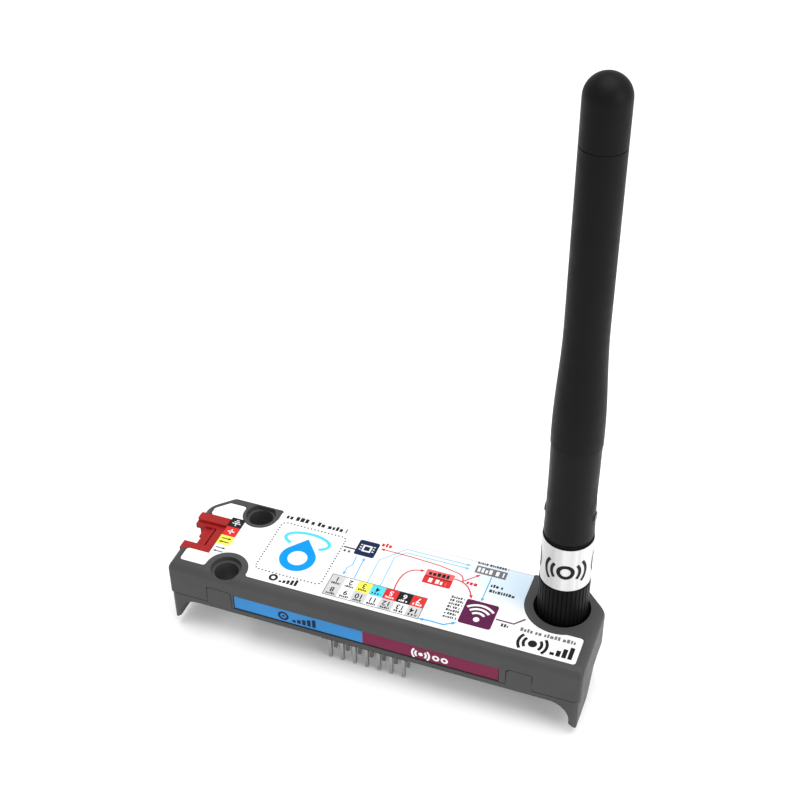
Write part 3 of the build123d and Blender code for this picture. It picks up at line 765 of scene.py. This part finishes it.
def print_drop(ink, cx, cy, inner, outer, tip):
    """A place drop: a ring that runs out to a tip towards the back."""
    tip_angle = math.acos(outer / tip)
    steps = 48
    edge = []
    for i in range(steps + 1):
        turn = 2 * math.pi * i / steps
        off = abs((turn + math.pi) % (2 * math.pi) - math.pi)
        radius = outer / math.cos(max(tip_angle - off, 0))
        direction = (math.sin(turn), math.cos(turn))
        edge.append([(cx + r * direction[0], cy + r * direction[1]) for r in (inner, radius)])
    for (a, b), (d, c) in zip(edge, edge[1:]):
        ink.add([d, c, b, a])


def print_patch_square():
    """The dotted square over the inner antenna, with a place drop and a wave over it."""
    cx, cy, half, corner = 23.2, 11.57, 6.9, 1.0
    pitch = 0.74
    side = half - corner
    count = round(2 * side / pitch)
    for i in range(count + 1):
        along = -side + 2 * side * i / count
        for x, y in ((along, half), (along, -half), (half, along), (-half, along)):
            disc(black, cx + x, cy + y, DOT_RADIUS)
    inner_corner = half - 0.3
    for x in (-inner_corner, inner_corner):
        for y in (-inner_corner, inner_corner):
            disc(black, cx + x, cy + y, DOT_RADIUS)
    print_drop(blue, 23.13, 9.92, 1.95, 3.6, 5.6)
    turns = [math.radians(angle) for angle in range(-50, 231, 7)]
    line(cyan, [(23.1 + 4.6 * math.cos(t), 15.0 + 2.0 * math.sin(t)) for t in turns], 0.7)
    bars(black, 16.4, 29.4, 19.65, 20.8, 3)
    band(black, 20.9, 3.5, 0.42, 0.9)
    for i in range(5):
        x = 22.25 + i * 0.78
        panel(black, x, x + 0.55, 2.75, 3.2 + 0.28 * i)


def print_pin_table():
    """The pin table: two rows of seven numbered cells."""
    x0, y0, cell_x, cell_y = 31.35, 2.82, 2.755, 2.78
    fills = (silver, None, yellow, cyan, red, black, red)
    inks = (black, black, black, black, white, white, white)
    for column in range(7):
        x = x0 + column * cell_x
        if fills[column]:
            panel(fills[column], x, x + cell_x, y0 + cell_y, y0 + 2 * cell_y)
        if column % 2 == 0:
            panel(silver, x, x + cell_x, y0, y0 + cell_y)
        for row, ink in ((1, inks[column]), (0, black)):
            text = str(column + 1 + (0 if row else 7))
            y = y0 + row * cell_y
            number(text, ink, x + cell_x / 2, y + 1.7, 1.2)
            bars(ink, x + 0.5, x + cell_x - 0.5, y + 0.35, y + 0.85, 40 + column * 2 + row, layer=1)
    x1, y1 = x0 + 7 * cell_x, y0 + 2 * cell_y
    outline = ((x0, y0), (x1, y0), (x1, y1), (x0, y1), (x0, y0))
    for start, end in zip(outline, outline[1:]):
        line(grey, [start, end], 0.15, layer=1)


def print_blocks():
    """The coloured blocks of the wiring diagram."""
    panel(navy, 32.85, 37.0, 14.85, 19.1, 0.4)
    panel(white, 34.0, 35.85, 16.05, 17.9, layer=1)
    panel(navy, 34.35, 35.5, 16.4, 17.55, layer=2)
    for i in range(3):
        at = 16.3 + i * 0.68
        panel(white, 33.4, 33.8, at, at + 0.25, layer=1)
        panel(white, 36.05, 36.45, at, at + 0.25, layer=1)
    panel(coral, 47.97, 53.64, 14.0, 15.92, 0.3)
    panel(red, 47.97, 53.64, 12.15, 14.2, 0.3)
    bars(black, 48.6, 53.1, 14.5, 15.5, 5, layer=1)
    bars(white, 49.1, 52.6, 12.6, 13.7, 6, layer=1)
    panel(plum, 57.7, 64.05, 4.68, 11.02, 0.5)
    disc(white, 60.88, 6.4, 0.6, layer=1)
    for radius in (1.4, 2.4, 3.4):
        band(white, 60.88, 6.4, radius, radius + 0.5, 45, 135, layer=1, steps=14)
    panel(grey, 56.7, 62.9, 18.1, 20.1)
    bars(white, 57.1, 62.4, 18.5, 19.7, 8, layer=1)
    bars(ink_grey, 56.6, 62.8, 20.6, 21.2, 9)
    for i in range(7):
        y = 5.0 + i * 0.87
        bars(ink_grey, 54.7, 57.3, y, y + 0.58, 20 + i)


def print_wires():
    """The lines and arrows between the blocks."""
    line(plum, [(30.4, 16.08), (32.85, 16.08)], 0.36)
    bars(ink_grey, 30.75, 32.3, 14.8, 15.6, 11)
    bars(red, 37.3, 39.7, 18.7, 19.75, 12)
    arrow(line_blue, [(33.8, 14.3), (33.9, 11.85), (33.2, 10.85), (33.2, 9.6)], 0.19, 0.8)
    arrow(line_blue, [(35.55, 8.6), (35.45, 13.7)], 0.19, 0.8)
    arrow(line_cyan, [(38.35, 8.5), (38.3, 14.9), (40.7, 17.65), (42.4, 19.55), (54.8, 19.55)], 0.19, 0.8)
    arrow(line_cyan, [(41.0, 8.5), (40.85, 16.55), (42.5, 18.6), (54.8, 18.6)], 0.19, 0.8)
    arrow(red, [(53.9, 16.75), (49.9, 17.5), (43.6, 17.86), (38.3, 17.9)], 0.23, 0.9)
    line(red, bend_points((53.9, 16.75), (54.9, 16.4), (55.3, 15.8), (55.4, 14.94)), 0.23)
    arrow(red, [(55.4, 14.94), (57.5, 17.2)], 0.23, 0.85)
    arrow(red, bend_points((43.8, 8.5), (43.5, 12.0), (44.0, 14.6), (46.9, 15.0)), 0.27, 0.9)
    arrow(red, bend_points((53.7, 15.0), (56.0, 15.0), (57.1, 13.9), (58.0, 12.0)), 0.27, 0.9)
    bars(red, 56.2, 58.4, 14.55, 15.5, 13)
    arrow(line_blue, [(60.27, 17.9), (60.33, 12.0)], 0.19, 0.85)
    bars(black, 60.8, 63.2, 15.4, 16.2, 14)
    bars(ink_grey, 60.9, 66.1, 14.0, 14.75, 15)
    arrow(line_blue, [(51.6, 3.05), (52.8, 3.15), (55.5, 3.1), (56.9, 3.95)], 0.34, 1.0, both=True)
    line(plum, [(64.3, 7.75), (67.77, 7.73), (69.5, 9.6)], 0.32)
    bars(ink_grey, 65.6, 67.0, 6.35, 7.15, 16)
    line(silver, [(15.6, 21.05), (67.4, 21.05)], 0.12)


def waves(ink, x, y, radii, width, angle, steps=12, layer=0):
    """Arcs to both sides of a point."""
    for radius in radii:
        for side in (0, 180):
            band(ink, x, y, radius, radius + width, side - angle, side + angle, layer=layer, steps=steps)


def print_corner_marks():
    """Bold radio marks and a small line of print in the label's right corner."""
    bars(grey, 69.3, 79.8, 6.55, 7.45, 17)
    x, y = 72.4, 4.2
    disc(black, x, y, 0.85)
    waves(black, x, y, (1.4, 2.4), 0.58, 40)
    for i in range(4):
        x = 75.9 + i * 1.12
        panel(black, x, x + 0.82, 2.8, 3.5 + 0.75 * i)


def print_strip_marks():
    """A compass sign on the blue strip and radio waves on the maroon one."""
    dark = Ink("print_strip_dark", (0.004, 0.012, 0.04), on_strip, "module", "blue_print")
    light = Ink("print_strip_light", (0.85, 0.85, 0.85), on_strip, "module", "maroon_print")
    z = 2.95
    band(dark, 24.15, z, 0.66, 1.12)
    disc(dark, 24.15, z, 0.28)
    for i in range(5):
        x = 26.0 + i * 1.04
        panel(dark, x, x + 0.74, 1.95, 2.55 + 0.35 * i)
    z = 2.75
    disc(light, 52.2, z, 0.45)
    waves(light, 52.2, z, (0.85, 1.5), 0.4, 42)
    for x in (55.2, 56.9):
        band(light, x, z, 0.32, 0.72)
    dark.build()
    light.build()


def print_ring_marks():
    """Bold wave signs round the antenna's foot."""
    ink = Ink("print_ring_marks", (0.008, 0.008, 0.009), on_ring, "swivel", "label_print")
    turn = 2 * math.pi * ring_radius / MM
    for i in range(3):
        along = i * turn / 3
        band(ink, along, 22.5, 0.95, 1.7)
        waves(ink, along, 22.5, (2.35, 3.6), 0.62, 38)
    ink.build()


label_inks = (
    black, white, grey, ink_grey, silver, red, coral, yellow, cyan, blue, line_blue, line_cyan, navy, plum
)

build_shell()
build_port()
print_port_cells()
print_patch_square()
print_pin_table()
print_blocks()
print_wires()
print_corner_marks()
print_strip_marks()
print_ring_marks()
for ink in label_inks:
    ink.build()


# Floor, light and camera, with places and sizes in metres

FLOOR_REACH = 1.5
FLOOR_COLOUR = (0.93, 0.93, 0.93)
FLOOR_GLOW = 0.12
FLOOR_CLEARANCE = 0.0003
ROOM_STRENGTH = 0.62
CENTRE = (0.0, 0.0, 0.02)
CAMERA_PLACE = (0.07362, -0.17592, 0.20566)
CAMERA_TURN = (52.048, 0.378, 20.494)
CAMERA_LENS = 64.77


def build_floor():
    """A pale floor just under the pins."""
    z = cad_bounds[0].z - FLOOR_CLEARANCE
    mesh = bpy.data.meshes.new("floor")
    corners = [(x * FLOOR_REACH, y * FLOOR_REACH, z) for x, y in ((-1, -1), (1, -1), (1, 1), (-1, 1))]
    mesh.from_pydata(corners, [], [(0, 1, 2, 3)])
    material, tree, bsdf = shader("floor_paper")
    bsdf.inputs["Roughness"].default_value = 0.9
    varied_colour(tree, bsdf, FLOOR_COLOUR, 0.004, 20)
    bsdf.inputs["Emission Color"].default_value = (1, 1, 1, 1)
    bsdf.inputs["Emission Strength"].default_value = FLOOR_GLOW
    mesh.materials.append(material)
    floor = bpy.data.objects.new("floor", mesh)
    bpy.context.scene.collection.objects.link(floor)


def area_light(name, place, target, size, power):
    """A soft square lamp aimed at a point."""
    data = bpy.data.lights.new(name, "AREA")
    data.shape = "SQUARE"
    data.size = size
    data.energy = power
    lamp = bpy.data.objects.new(name, data)
    lamp.location = place
    aim = Vector(target) - Vector(place)
    lamp.rotation_euler = aim.to_track_quat("-Z", "Y").to_euler()
    bpy.context.scene.collection.objects.link(lamp)


def build_light():
    """A white room with one large lamp overhead and one at the right."""
    world = bpy.data.worlds.new("studio")
    bpy.context.scene.world = world
    world.use_nodes = True
    tree = world.node_tree
    room = tree.nodes["Background"]
    room.inputs["Color"].default_value = (1, 1, 1, 1)
    room.inputs["Strength"].default_value = ROOM_STRENGTH
    backdrop = tree.nodes.new("ShaderNodeBackground")
    backdrop.inputs["Strength"].default_value = 1.0
    path = tree.nodes.new("ShaderNodeLightPath")
    seen = path.outputs["Is Camera Ray"]
    for ray in ("Is Glossy Ray", "Is Transmission Ray"):
        both = tree.nodes.new("ShaderNodeMath")
        both.operation = "MAXIMUM"
        tree.links.new(seen, both.inputs[0])
        tree.links.new(path.outputs[ray], both.inputs[1])
        seen = both.outputs["Value"]
    mix = tree.nodes.new("ShaderNodeMixShader")
    tree.links.new(seen, mix.inputs["Fac"])
    tree.links.new(room.outputs["Background"], mix.inputs[1])
    tree.links.new(backdrop.outputs["Background"], mix.inputs[2])
    tree.links.new(mix.outputs["Shader"], tree.nodes["World Output"].inputs["Surface"])
    area_light("overhead", (0.05, 0.0, 0.55), CENTRE, 0.5, 2.6)
    area_light("from_right", (0.6, -0.15, 0.25), CENTRE, 0.4, 1.6)


def build_camera():
    """The camera that took the photograph, fitted to the module's outline."""
    data = bpy.data.cameras.new("camera")
    data.sensor_width = 36
    data.lens = CAMERA_LENS
    data.clip_start = 0.01
    camera = bpy.data.objects.new("camera", data)
    camera.location = CAMERA_PLACE
    camera.rotation_euler = [math.radians(angle) for angle in CAMERA_TURN]
    bpy.context.scene.collection.objects.link(camera)
    bpy.context.scene.camera = camera


build_floor()
build_light()
build_camera()
bpy.context.scene.view_settings.view_transform = "Standard"
